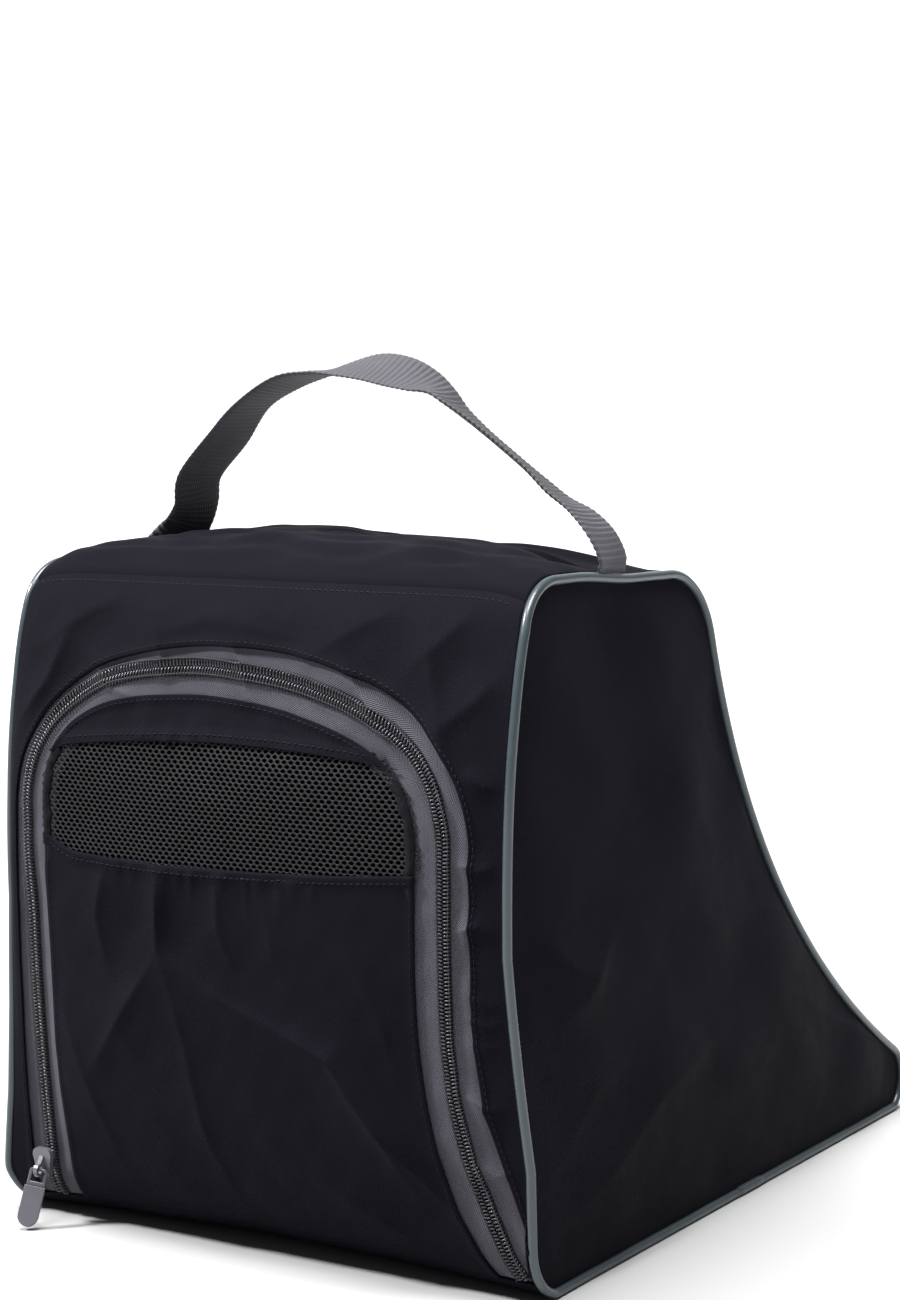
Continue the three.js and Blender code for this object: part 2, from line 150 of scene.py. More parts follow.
def left_normals(line):
    """Unit normals on the left of a plane polyline, which is the outside of the clockwise outline."""
    along = np.gradient(line, axis=0)
    along /= np.linalg.norm(along, axis=1)[:, None]
    return np.stack([-along[:, 1], along[:, 0]], -1)


def half_width(z):
    return HALF_BASE - SIDE_INSET - LEAN * z


# ---------- the front: one surface over X and Z ----------
# Creases: points along the fold, its height and its half width.
CREASES = (
    ([(-35, 176), (-34, 158), (-35, 138)], 2.8, 3.6),
    ([(-120, 236), (-106, 250), (-97, 270)], 2.2, 4.0),
    ([(-86, 262), (-70, 250), (-52, 246)], 1.6, 4.0),
    ([(-58, 285), (-45, 268), (-40, 252)], 1.7, 4.5),
    ([(-20, 285), (0, 262), (8, 246)], 1.8, 5.0),
    ([(40, 286), (56, 262), (70, 246), (82, 232)], 2.3, 5.0),
    ([(88, 285), (96, 262), (104, 240), (110, 218)], 2.1, 4.5),
    ([(-4, 170), (-2, 150), (6, 132)], 1.6, 4.5),
    ([(-66, 172), (-70, 150), (-66, 128)], 1.5, 5.0),
    ([(114, 226), (123, 221), (132, 219)], 1.5, 2.6),
    ([(113, 188), (124, 186), (133, 190)], 1.4, 2.6),
    ([(113, 160), (123, 163), (134, 158)], 1.4, 2.4),
    ([(114, 92), (124, 85), (135, 89)], 1.5, 2.6),
    ([(116, 64), (125, 57), (136, 61)], 1.3, 2.6),
    ([(-35, 138), (-8, 122), (20, 112), (54, 100), (78, 70), (119, 25)], 3.0, 6.5),
    ([(-35, 138), (-58, 106), (-81, 75)], 1.8, 6.0),
    ([(-35, 138), (-24, 96), (-15, 50), (-4, 22)], 1.7, 6.5),
    ([(54, 100), (64, 84), (77, 69), (92, 40)], 1.6, 4.5),
    ([(20, 170), (26, 140), (40, 118)], 1.2, 7.0),
    ([(-97, 108), (-82, 70), (-67, 28)], 1.3, 7.0),
    ([(60, 150), (78, 120), (84, 92)], 1.1, 6.0),
    ([(10, 60), (44, 42), (84, 20)], 1.2, 6.0),
    ([(84, 262), (98, 271), (112, 284)], 1.6, 4.5),
    ([(100, 240), (116, 252), (127, 262)], 1.4, 4.0),
    ([(-60, 266), (-20, 276), (30, 270)], 1.2, 7.0),
    ([(-118, 262), (-96, 272), (-70, 284)], 1.3, 5.0),
    ([(30, 262), (52, 272), (80, 286)], 1.2, 5.0),
    ([(119, 134), (126, 130), (133, 131)], 1.2, 2.0),
    ([(118, 124), (126, 121), (134, 123)], 1.4, 2.2),
    ([(119, 113), (127, 112), (134, 115)], 1.1, 2.2),
)


def crease(x, z, line, height, width):
    """A fold with a crisp ridge that fades in and out along its line."""
    best = np.full(x.shape, 1e9)
    along = np.zeros(x.shape)
    points = np.array(line, float)
    s = lengths(points)
    for a, b, start in zip(points, points[1:], s):
        d = b - a
        t = np.clip(((x - a[0]) * d[0] + (z - a[1]) * d[1]) / (d @ d), 0, 1)
        gap = np.hypot(x - a[0] - t * d[0], z - a[1] - t * d[1])
        nearer = gap < best
        best = np.where(nearer, gap, best)
        along = np.where(nearer, start + t * math.sqrt(d @ d), along)
    share = along / s[-1]
    fade = np.sin(np.pi * np.clip(0.08 + 0.86 * share, 0, 1))
    sharp = np.exp(-np.sqrt((best / (0.6 * width)) ** 2 + 0.05))
    broad = np.exp(-((best / (2.4 * width)) ** 2))
    return height * fade * (1.25 * sharp + 0.95 * broad)


def puckers(x, z, low_x, high_x, top, reach, count, seed):
    """Short upright gathers that hang from a sewn edge."""
    local = np.random.default_rng(seed)
    total = np.zeros(x.shape)
    for middle in np.linspace(low_x, high_x, count):
        at = middle + local.uniform(-3, 3)
        height, width = local.uniform(0.35, 1.0), local.uniform(1.6, 3.2)
        length = abs(reach) * local.uniform(0.5, 1.1)
        down = (top - z) * np.sign(reach)
        total += height * bell(x, at, width) * smooth(-down, -length, -1.5) * (down > -0.5)
    return total


def waves(x, z, seed, low, high, count):
    """Gentle unevenness of slack cloth: a seeded sum of long waves."""
    local = np.random.default_rng(seed)
    total = np.zeros(np.broadcast(x, z).shape)
    for _ in range(count):
        angle, length = local.uniform(0, math.pi), local.uniform(low, high)
        k = 2 * math.pi / length
        total += np.sin(k * (x * math.cos(angle) + z * math.sin(angle)) + local.uniform(0, 6.3))
    return total / math.sqrt(count)


def beside_slider(x, z):
    """One along the straight stretch where the slider runs, where the cloth stays taut."""
    return bell(x, SLIDER_X, 13) * (1 - smooth(z, 142, 185))


def front_relief(x, z):
    inside = smooth(136 - np.abs(x), 0, 18) * smooth(z, 10, 30) * (1 - smooth(z, 276, 290))
    quiet = 1 - beside_slider(x, z)
    total = sum(crease(x, z, *c) for c in CREASES)
    total += puckers(x, z, -56, 44, WINDOW_LOW - 3, 22, 13, 3) * (z < WINDOW_LOW - 2)
    total += 0.8 * puckers(x, z, -48, -12, WINDOW_HIGH + 4, -15, 5, 5) * (z > WINDOW_HIGH + 3)
    total += 0.6 * waves(x, z, 11, 46, 95, 7) + 0.16 * waves(x, z, 12, 15, 34, 7)
    return total * inside * quiet + 1.8 * inside * smooth(112 - np.abs(x), 0, 80)


def front_y(x, z):
    half = half_width(z)
    sideways = np.clip(1 - (x / half) ** 4, 0, 1)
    swell = SWELL * sideways * smooth(z, HEM_Z, 72) * (1 - smooth(z, 200, BROW_Z))
    swell = swell * (1 - 0.95 * beside_slider(x, z))
    seam = 1.6 * bell(z, BROW_Z, 2.0)
    return np.interp(z, FRONT[:, 1], FRONT[:, 0]) - swell - front_relief(x, z) + seam


def front_points(flat):
    """Points of (x, z, height above the cloth) on the front, before the bag settles."""
    x, z, out = (np.asarray(flat, float)[..., k] for k in range(3))
    z = np.clip(z, HEM_Z, BROW_Z)
    x = np.clip(x, -half_width(z) - 1, half_width(z) + 1)
    step = 0.6
    slope_x = (front_y(x + step, z) - front_y(x - step, z)) / (2 * step)
    z_low, z_high = np.clip(z - step, HEM_Z, BROW_Z), np.clip(z + step, HEM_Z, BROW_Z)
    slope_z = (front_y(x, z_high) - front_y(x, z_low)) / (z_high - z_low)
    normal = np.stack([slope_x, -np.ones(x.shape), slope_z], -1)
    normal /= np.linalg.norm(normal, axis=-1)[..., None]
    return np.stack([x, front_y(x, z), z], -1) + normal * out[..., None]


# ---------- how the filled bag settles: one smooth field over space ----------
CORD_Y = -204
# Shifts of the two front cords at heights Z: sideways, and back into the bag.
CORD_HEIGHTS = (0, 20, 60, 100, 150, 200, 250, 280, 300)
RIGHT_ASIDE = (0.5, 1.5, 4.5, 2.2, -0.3, 1.4, 3.0, 3.4, 0.5)
LEFT_ASIDE = (-1.0, -5.0, 0.5, 2.2, 3.4, 2.8, 2.8, 3.0, 0.5)
LEFT_BACK = (0, 0, 1.5, 5.0, 8.5, 9.0, 7.0, 3.5, 0)


def settle(points):
    p = np.array(points, float)
    x, y, z = p[..., 0], p[..., 1], p[..., 2]
    right = bell(x, 139, 16) * bell(y, CORD_Y, 34)
    left = bell(x, -140, 9.5) * bell(y, CORD_Y, 32)
    lip = np.clip(1 - (x / 125) ** 2, 0, 1) * bell(y, -192, 26) * (1 - smooth(z, 6, 40))
    crown = np.clip(1 - (x / 136) ** 14, 0, 1) * smooth(z, 235, 290) * (1 - smooth(y, -100, -15))
    crown = crown * (9.5 - 7.5 * smooth(x, -60, 120) * smooth(y, -150, -95))
    moved = p.copy()
    moved[..., 0] += right * np.interp(z, CORD_HEIGHTS, RIGHT_ASIDE)
    moved[..., 0] += left * np.interp(z, CORD_HEIGHTS, LEFT_ASIDE)
    moved[..., 1] += left * np.interp(z, CORD_HEIGHTS, LEFT_BACK)
    moved[..., 2] += 4.5 * lip + crown
    return moved


# ---------- meshes ----------
def grid_faces(rows, columns, closed=False):
    r, c = np.meshgrid(np.arange(rows - 1), np.arange(columns if closed else columns - 1), indexing="ij")
    here, right = r * columns + c, r * columns + (c + 1) % columns
    return np.stack([here, right, right + columns, here + columns], -1).reshape(-1, 4)


def new_object(name, points, faces, material, flat=None):
    """A smooth-shaded mesh from millimetre points. flat holds cloth coordinates for the weave."""
    mesh = bpy.data.meshes.new(name)
    vertices = np.asarray(points, float).reshape(-1, 3) * MM
    mesh.from_pydata(vertices.tolist(), [], faces if isinstance(faces, list) else faces.tolist())
    mesh.update()
    mesh.polygons.foreach_set("use_smooth", np.ones(len(mesh.polygons), bool))
    if flat is not None:
        attribute = mesh.attributes.new("cloth", "FLOAT_VECTOR", "POINT")
        attribute.data.foreach_set("vector", np.asarray(flat, np.float32).reshape(-1))
    mesh.materials.append(material)
    made = bpy.data.objects.new(name, mesh)
    bpy.context.scene.collection.objects.link(made)
    return made


def thicken(piece, label, thickness):
    """Real thickness, on the inner side of the sheet."""
    thick = piece.modifiers.new(label, "SOLIDIFY")
    thick.thickness, thick.offset = thickness * MM, -1
    thick.use_even_offset = False


def facing_out(points, faces):
    """The faces, turned round if most of them look at the middle of the bag."""
    p = np.asarray(points, float).reshape(-1, 3)
    f = np.asarray(faces)
    a, b, c = p[f[:, 0]], p[f[:, 1]], p[f[:, 2]]
    normal = np.cross(b - a, c - a)
    away = (a + c) / 2 - BAG_MIDDLE
    return f if (normal * away).sum() > 0 else f[:, ::-1]


def sheet_piece(name, points, material, thickness=1.2, flat=None):
    """A cloth sheet over a grid of points, with real thickness on its inner side."""
    rows, columns = points.shape[:2]
    faces = facing_out(points, grid_faces(rows, columns))
    made = new_object(name, points, faces, material, flat)
    thicken(made, "cloth", thickness)
    return made


def tube_points(line, section, first):
    """A section carried along a line without twisting: one row of points for each step."""
    along = np.gradient(line, axis=0)
    along /= np.linalg.norm(along, axis=1)[:, None]
    side = np.zeros_like(line)
    axis = np.array(first, float)
    for i, t in enumerate(along):
        axis = axis - t * (axis @ t)
        axis /= np.linalg.norm(axis)
        side[i] = axis
    up = np.cross(along, side)
    return line[:, None] + side[:, None] * section[None, :, :1] + up[:, None] * section[None, :, 1:2]


def oval(sides, width, height, power=1.0):
    """A closed outline of points round an oval, boxier as power falls below one."""
    a = np.linspace(0, 2 * math.pi, sides, endpoint=False)
    ring = np.stack([np.cos(a), np.sin(a)], -1)
    return np.sign(ring) * np.abs(ring) ** power * (width, height)


def with_caps(faces, count, sides):
    """The faces of a tube, with one more across each end."""
    last = (count - 1) * sides
    return faces.tolist() + [list(range(sides))[::-1], list(range(last, last + sides))]


def closed_tube(name, line, section, material):
    """A section carried round a closed line, starting with its first axis along X."""
    rows = tube_points(line, section, (1, 0, 0))
    rows = np.concatenate([rows, rows[:1]])
    return new_object(name, rows, grid_faces(*rows.shape[:2], closed=True)[:, ::-1], material)


def copies(template, faces, count):
    """The faces of count copies of a small shape, whose points follow one another."""
    size = len(template)
    return (np.asarray(faces)[None] + (np.arange(count) * size)[:, None, None]).reshape(-1, len(faces[0]))


# ---------- the zip's line in front view ----------
def bezier(*points):
    t = np.linspace(0, 1, 60)[:, None]
    p = [np.array(q, float) for q in points]
    if len(p) == 3:
        return (1 - t) ** 2 * p[0] + 2 * t * (1 - t) * p[1] + t * t * p[2]
    return (1 - t) ** 3 * p[0] + 3 * t * (1 - t) ** 2 * p[1] + 3 * t * t * (1 - t) * p[2] + t**3 * p[3]


ZIP = joined(
    np.array([(SLIDER_X, HEM_Z), (SLIDER_X, 194.0)]),
    bezier((SLIDER_X, 194), (SLIDER_X, 232), (-92, 251), (-56, 256)),
    bezier((-56, 256), (-8, 263), (46, 252)),
    bezier((46, 252), (82, 245), (105, 230), (107, 194)),
    np.array([(107.0, 194.0), (107.0, 130.0)]),
    bezier((107, 130), (107, 92), (114, 52), (135, 4)),
)
ZIP = resample(ZIP[ZIP[:, 1] >= HEM_Z - 0.01], 1400)
ZIP_LENGTH = lengths(ZIP)[-1]
ZIP_NORMAL = left_normals(ZIP)
ZIP_SHARE = np.linspace(0, 1, len(ZIP))
# How far the cloth's folded edges lie from the zip's middle, along its length.
FRAME_EDGE = np.interp(
    ZIP_SHARE, (0, 0.1, 0.25, 0.35, 0.42, 0.52, 0.68, 0.8, 1), (11, 9.5, 7.5, 5, 5.4, 8, 11, 12, 12)
)
FLAP_EDGE = -np.interp(
    ZIP_SHARE, (0, 0.25, 0.36, 0.45, 0.55, 0.66, 0.8, 1), (13, 12.5, 8.4, 9.8, 10, 12.6, 13, 12)
)


def beside_zip(s, d):
    """(x, z) at arc length s along the zip and distance d from it, positive towards the bag's frame."""
    at = np.linspace(0, ZIP_LENGTH, len(ZIP))
    return values_at(s, at, ZIP) + values_at(s, at, ZIP_NORMAL) * np.asarray(d)[..., None]


def moved_zip(d):
    return ZIP + ZIP_NORMAL * np.broadcast_to(d, len(ZIP))[:, None]


def zip_edges(z, d):
    """The left and right x of the line at distance d from the zip, at each height."""
    line = moved_zip(d)
    peak = int(np.argmax(line[:, 1]))
    left, right = line[: peak + 1], line[peak:][::-1]
    return np.interp(z, left[:, 1], left[:, 0]), np.interp(z, right[:, 1], right[:, 0])


def arch_height(x, d):
    line = moved_zip(d)
    upper = line[line[:, 1] > 200]
    order = np.argsort(upper[:, 0])
    return np.interp(x, upper[order, 0], upper[order, 1])


def on_front(flat):
    return settle(front_points(flat))


# ---------- materials ----------
class Nodes:
    """A small helper that adds and links shader nodes."""

    def __init__(self, name):
        self.material = bpy.data.materials.new(name)
        self.material.use_nodes = True
        self.tree = self.material.node_tree
        self.shader = self.tree.nodes["Principled BSDF"]

    def add(self, kind, inputs=None, **settings):
        node = self.tree.nodes.new("ShaderNode" + kind)
        for key, value in settings.items():
            setattr(node, key, value)
        for key, value in (inputs or {}).items():
            if isinstance(value, bpy.types.NodeSocket):
                self.tree.links.new(value, node.inputs[key])
            else:
                node.inputs[key].default_value = value
        return node

    def math(self, operation, a, b=0.0):
        return self.add("Math", {0: a, 1: b}, operation=operation).outputs[0]

    def ramp(self, factor, stops):
        node = self.add("ValToRGB", {"Fac": factor})
        while len(node.color_ramp.elements) < len(stops):
            node.color_ramp.elements.new(0.5)
        for element, (place, colour) in zip(node.color_ramp.elements, stops):
            grey = isinstance(colour, (int, float))
            element.position = place
            element.color = (*((colour,) * 3 if grey else colour), 1)
        return node.outputs["Color"]

    def place(self):
        return self.add("TexCoord").outputs["Object"]

    def noise(self, where, scale, detail=4.0, roughness=0.6):
        inputs = {"Vector": where, "Scale": scale, "Detail": detail, "Roughness": roughness}
        return self.add("TexNoise", inputs).outputs["Fac"]

    def wave(self, where, scale, direction="DIAGONAL", distortion=0.0):
        found = self.add(
            "TexWave", {"Vector": where, "Scale": scale, "Distortion": distortion, "Detail": 1.0},
            bands_direction=direction,
        )
        return found.outputs["Fac"]

    def mix(self, factor, a, b):
        node = self.add("Mix", data_type="RGBA")
        for socket, value in (("Factor", factor), ("A", a), ("B", b)):
            slot = [i for i in node.inputs if i.name == socket and i.enabled][0]
            if isinstance(value, bpy.types.NodeSocket):
                self.tree.links.new(value, slot)
            else:
                slot.default_value = value if socket == "Factor" else (*value, 1)
        return [o for o in node.outputs if o.enabled][0]

    def bump(self, height, distance, strength=1.0, under=None):
        inputs = {"Height": height, "Distance": distance, "Strength": strength}
        if under is not None:
            inputs["Normal"] = under
        return self.add("Bump", inputs).outputs["Normal"]

    def finish(self, colour, roughness, normal=None, **fixed):
        for key, value in (("Base Color", colour), ("Roughness", roughness), ("Normal", normal)):
            if value is None:
                continue
            if isinstance(value, bpy.types.NodeSocket):
                self.tree.links.new(value, self.shader.inputs[key])
            else:
                self.shader.inputs[key].default_value = value
        for key, value in fixed.items():
            self.shader.inputs[key.replace("_", " ")].default_value = value
        return self.material


def twill(name, dark, light, sheen=0.006, pitch=1.25):
    """Coated nylon twill: fine slanting ribs, slub, soft sheen and rubbed patches."""
    n = Nodes(name)
    where = n.place()
    scale = 2 * math.pi / (10 * pitch * MM)
    ribs = n.wave(where, scale, distortion=0.25)
    yarn = n.noise(where, 900, 2)
    cloud = n.noise(where, 22, 5)
    worn = n.ramp(n.noise(where, 70, 6, 0.7), [(0.35, 0.0), (0.75, 1.0)])
    tone = n.math("ADD", n.math("MULTIPLY", ribs, 0.7), n.math("MULTIPLY", cloud, 0.2))
    colour = n.mix(tone, dark, light)
    rough = n.math("ADD", 0.58, n.math("MULTIPLY", worn, 0.1))
    creased = n.bump(cloud, 0.003, 0.08)
    height = n.math("ADD", ribs, n.math("MULTIPLY", yarn, 0.5))
    woven = n.bump(height, 0.00022, 0.9, creased)
    return n.finish(
        colour, rough, woven, Specular_IOR_Level=0.018, Sheen_Weight=sheen, Sheen_Roughness=0.45,
        Sheen_Tint=(0.75, 0.75, 0.95, 1),
    )


def cloth_axes(n):
    """Along and across the strip, in millimetres, from the piece's own cloth coordinates."""
    split = n.add("SeparateXYZ", {"Vector": n.add("Attribute", attribute_name="cloth").outputs["Vector"]})
    return split.outputs["X"], split.outputs["Y"]


def herringbone(name, dark, light):
    """Zip tape: slanting yarns that turn back at columns along the tape, with painted shade down its middle
    under the coil.
    """
    n = Nodes(name)
    along, across = cloth_axes(n)
    column = n.math("PINGPONG", across, 3.1)
    slant = n.math("ADD", along, n.math("MULTIPLY", column, 1.25))
    yarn = n.math("SINE", n.math("MULTIPLY", slant, 2 * math.pi / 1.15))
    yarn = n.math("ADD", 0.5, n.math("MULTIPLY", yarn, 0.5))
    where = n.place()
    cloud = n.noise(where, 60, 5)
    tone = n.math("ADD", n.math("MULTIPLY", yarn, 0.55), n.math("MULTIPLY", cloud, 0.45))
    # Painted shade: within about 3 mm of the zip's middle, where the coil's loops shade the tape, the
    # weave's tone fades out and the colour drops to 0.12 of the dark yarn colour.
    coil_shade_mask = n.ramp(n.math("MULTIPLY", n.math("ABSOLUTE", across), 0.1), [(0.28, 0.08), (0.36, 1.0)])
    tone = n.math("MULTIPLY", tone, coil_shade_mask)
    normal = n.bump(n.math("ADD", yarn, n.math("MULTIPLY", n.noise(where, 1500, 2), 0.4)), 0.00028, 0.9)
    rough = n.math("ADD", 0.7, n.math("MULTIPLY", cloud, 0.15))
    colour = n.mix(coil_shade_mask, tuple(0.12 * c for c in dark), n.mix(tone, dark, light))
    return n.finish(colour, rough, normal, Specular_IOR_Level=0.2, Sheen_Weight=0.05, Sheen_Roughness=0.5)


def webbing_finish(name, dark, light):
    """Ribbed webbing: fine warp threads over the weft ribs that the mesh itself carries."""
    n = Nodes(name)
    along, across = cloth_axes(n)
    thread = n.math("SINE", n.math("MULTIPLY", across, 2 * math.pi / 1.0))
    offset = n.math("SINE", n.math("MULTIPLY", along, 2 * math.pi / RIB_PITCH))
    woven = n.math("ADD", 0.5, n.math("MULTIPLY", n.math("MULTIPLY", thread, offset), 0.5))
    where = n.place()
    cloud = n.noise(where, 90, 5)
    tone = n.math("ADD", n.math("MULTIPLY", woven, 0.5), n.math("MULTIPLY", cloud, 0.5))
    normal = n.bump(n.math("ADD", woven, n.math("MULTIPLY", n.noise(where, 1300, 3), 0.5)), 0.0003, 0.9)
    rough = n.math("ADD", 0.5, n.math("MULTIPLY", cloud, 0.2))
    return n.finish(
        n.mix(tone, dark, light), rough, normal, Specular_IOR_Level=0.35, Sheen_Weight=0.08,
        Sheen_Roughness=0.4,
    )


def plastic(name, dark, light, rough=0.35, grain=0.00006, scale=400, level=0.45, coat=0.0, metal=0.0):
    """Moulded or painted surface with fine grain, handling marks and uneven gloss."""
    n = Nodes(name)
    where = n.place()
    cloud = n.noise(where, scale / 8, 6, 0.65)
    fine = n.noise(where, scale * 3, 3)
    marks = n.ramp(n.noise(where, scale, 8, 0.7), [(0.45, 0.0), (0.7, 1.0)])
    gloss = n.math("ADD", rough, n.math("MULTIPLY", marks, 0.14))
    return n.finish(
        n.mix(cloud, dark, light), gloss, n.bump(fine, grain, 0.8), Specular_IOR_Level=level,
        Coat_Weight=coat, Coat_Roughness=0.12, Metallic=metal,
    )


FABRIC = twill("black_twill", (0.0038, 0.0036, 0.0057), (0.0092, 0.0087, 0.0132))
BINDING = twill("binding_tape", (0.007, 0.007, 0.0085), (0.014, 0.0135, 0.017), pitch=0.8)
TAPE = herringbone("grey_tape", (0.030, 0.028, 0.037), (0.098, 0.092, 0.114))
COIL = plastic(
    "nylon_coil", (0.016, 0.015, 0.019), (0.04, 0.037, 0.047), rough=0.26, scale=900, level=0.6
)
PIPING = plastic(
    "vinyl_piping", (0.032, 0.045, 0.052), (0.046, 0.062, 0.07), rough=0.28, coat=0.15, scale=160
)
NET = plastic(
    "net_yarn", (0.0055, 0.0053, 0.0068), (0.014, 0.0135, 0.0165), rough=0.5, scale=1200, level=0.3
)
THREAD = plastic(
    "sewing_thread", (0.003, 0.003, 0.004), (0.008, 0.0078, 0.0105), rough=0.6, scale=1500, level=0.15
)
COIL_THREAD = plastic(
    "coil_thread", (0.026, 0.024, 0.031), (0.06, 0.056, 0.068), rough=0.6, scale=1500, level=0.2
)
WEBBING = webbing_finish("grey_webbing", (0.022, 0.021, 0.027), (0.075, 0.073, 0.088))
METAL = plastic(
    "painted_casting", (0.10, 0.098, 0.112), (0.16, 0.155, 0.175), rough=0.3, scale=300, metal=0.35
)
GRIP = plastic("moulded_grip", (0.085, 0.082, 0.096), (0.125, 0.12, 0.14), rough=0.42, scale=260)
BOARD = plastic(
    "stiffener_board", (0.010, 0.010, 0.012), (0.02, 0.0195, 0.023), rough=0.6, scale=200, grain=0.0002
)


def described(piece, slot, *nodes):
    if nodes:
        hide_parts(*nodes)
    return piece


def with_flap(piece, slot, *nodes):
    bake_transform(piece)
    return described(piece, slot, *nodes)


def with_shell(piece, slot, *nodes):
    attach(piece, "shell")
    return described(piece, slot, *nodes)


def edge_roll(distance):
    """Cloth turned under along an edge: thicker next to it."""
    return 0.55 * np.exp(-((np.asarray(distance) / 3.2) ** 4))


def window_low(x):
    """Height of the cloth's edge below the net: it rises towards both ends."""
    return 176.5 + 5.0 * ((x + 30) / 115) ** 2 + 6.0 * smooth(-x, 82, 106)


def window_high(x):
    return 230.5 - 6.5 * (x / 95) ** 2 - 5.0 * smooth(-x, 90, 108)


def lower_panel():
    level = np.linspace(HEM_Z, 181.0, 130)
    left, right = zip_edges(level, FLAP_EDGE)
    x = left[:, None] + (right - left)[:, None] * np.linspace(0, 1, 170)
    side_gap = np.minimum(x - left[:, None], right[:, None] - x)
    zz = HEM_Z + (level[:, None] - HEM_Z) / (level[-1] - HEM_Z) * (window_low(x) - HEM_Z)
    out = edge_roll(side_gap) + 0.8 * np.exp(-(((window_low(x) - zz) / 5.0) ** 4))
    points = on_front(np.stack([x, zz, out], -1))
    piece = sheet_piece("flap_lower_cloth", points, FABRIC, 1.1)
    return with_flap(piece, "shell_fabric", "flap_lower_panel")


def top_band():
    left, right = zip_edges(np.array([221.0]), FLAP_EDGE)
    x = np.linspace(left[0], right[0], 170)
    low = window_high(x)
    peak = np.maximum(arch_height(x, FLAP_EDGE), low + 0.3)
    v = np.linspace(0, 1, 34)[:, None]
    z = low + v * (peak - low)[None]
    xx = np.repeat(x[None], 34, 0)
    out = edge_roll(peak[None] - z) + 0.8 * np.exp(-(((z - low) / 5.0) ** 4))
    points = on_front(np.stack([xx, z, out], -1))
    piece = sheet_piece("flap_top_cloth", points, FABRIC, 1.1)
    return with_flap(piece, "shell_fabric", "flap_top_band")


NET_PITCH = 3.4
NET_ROW = 1.9


def net_cell():
    """One cell's rings of points from its border to its hole, 12 in each, and their heights."""
    half = NET_PITCH / 2
    reach = (NET_PITCH**2 / 4 + NET_ROW**2) / (2 * NET_ROW)
    step = (reach * NET_ROW - half**2) / NET_ROW
    upper = np.array([(half, step), (0, reach), (-half, step)])
    corners = np.concatenate([upper, -upper])
    ring = np.stack([corners, (corners + np.roll(corners, -1, 0)) / 2], 1).reshape(-1, 2)
    angle = np.arctan2(ring[:, 1] / 0.86, ring[:, 0] / 1.12)
    hole = np.stack([1.14 * np.cos(angle), 0.84 * np.sin(angle)], -1)
    middle = ring * 0.45 + hole * 0.55
    return np.concatenate([ring, middle, hole]), np.repeat([-0.55, -0.3, -0.6], 12)


def net_centres():
    """Middles of the cells that lie under the window's opening and its turned edges."""
    centres = []
    for j in range(36):
        z = 170.0 + j * NET_ROW
        left, right = zip_edges(np.array([z]), FLAP_EDGE - 0.3)
        shift = NET_PITCH / 2 if j % 2 else 0.0
        for x in np.arange(-112 + shift, 106, NET_PITCH):
            if left[0] - 1.5 < x < right[0] + 1.5 and window_low(x) - 5 < z < window_high(x) + 5:
                centres.append((x, z))
    return np.array(centres)


def window_net():
    """Knitted net: hexagonal cells, each a ring of yarn round a round hole."""
    template, heights = net_cell()
    centres = net_centres()
    x = centres[:, None, 0] + template[None, :, 0]
    z = centres[:, None, 1] + template[None, :, 1]
    flat = np.stack([x, z, np.broadcast_to(heights, x.shape)], -1).reshape(-1, 3)
    quads = [
        [a + i, a + (i + 1) % 12, a + 12 + (i + 1) % 12, a + 12 + i] for a in (0, 12) for i in range(12)
    ]
    faces = copies(template, quads, len(centres))
    merged, inverse = np.unique(np.round(flat, 2), axis=0, return_inverse=True)
    points = on_front(merged)
    made = new_object("flap_window_net", points, facing_out(points, inverse.reshape(-1)[faces]), NET)
    thicken(made, "yarn", 0.5)
    return with_flap(made, "window_mesh", "flap_window_mesh")


def net_fold(name, start, end):
    """The net's cut edge, turned under in a narrow dark fold beside the tape."""
    s = np.linspace(start, end, 90)
    edge = np.interp(s / ZIP_LENGTH, ZIP_SHARE, FLAP_EDGE)
    width = 4.2 + 0.5 * np.sin(s * 0.35) + 0.3 * np.sin(s * 0.83)
    v = np.linspace(0, 1, 9)
    d = edge[:, None] + 0.2 - width[:, None] * v
    xz = beside_zip(np.repeat(s[:, None], 9, 1), d)
    out = -0.1 + 0.75 * np.sin(np.pi * np.clip(v, 0.08, 0.95)) * (1 + 0.2 * np.sin(s * 0.6))[:, None]
    points = on_front(np.concatenate([xz, out[..., None]], -1))
    return with_flap(sheet_piece(name, points, BINDING, 0.5), "window_mesh")


def zip_strip(name, near, far, material, thickness, out):
    s = np.linspace(0, ZIP_LENGTH, 620)
    d = np.linspace(near, far, 18)
    ss, dd = np.meshgrid(s, d, indexing="ij")
    xz = beside_zip(ss, dd)
    crown = 0.18 * np.sin(ss * 0.21 + dd * 0.3) * smooth(np.abs(dd), 4, 12)
    points = on_front(np.concatenate([xz, (out + crown)[..., None]], -1))
    return sheet_piece(name, points, material, thickness, flat=np.stack([ss, dd, 0 * ss], -1))


def coil_loop():
    """One loop of the coil's wire, six points round at each step: (distance, height), and arc length."""
    radius = 0.4
    path = np.array([
        (COIL_REACH, -1.2), (2.75, -0.2), (2.3, 0.3), (1.45, 0.42), (0.6, 0.26), (0.12, -0.35), (0.6, -1.1),
    ])
    lean = np.linspace(-0.22, 0.22, len(path)) * COIL_PITCH
    section = oval(6, 1, 1)
    fat = radius * np.array([0.75, 1, 1, 1.0, 1.12, 1.2, 0.8])
    offsets = left_normals(path)[:, None] * (section[None, :, 1:2] * fat[:, None, None])
    return path[:, None] + offsets, lean[:, None] + section[None, :, 0] * fat[:, None]


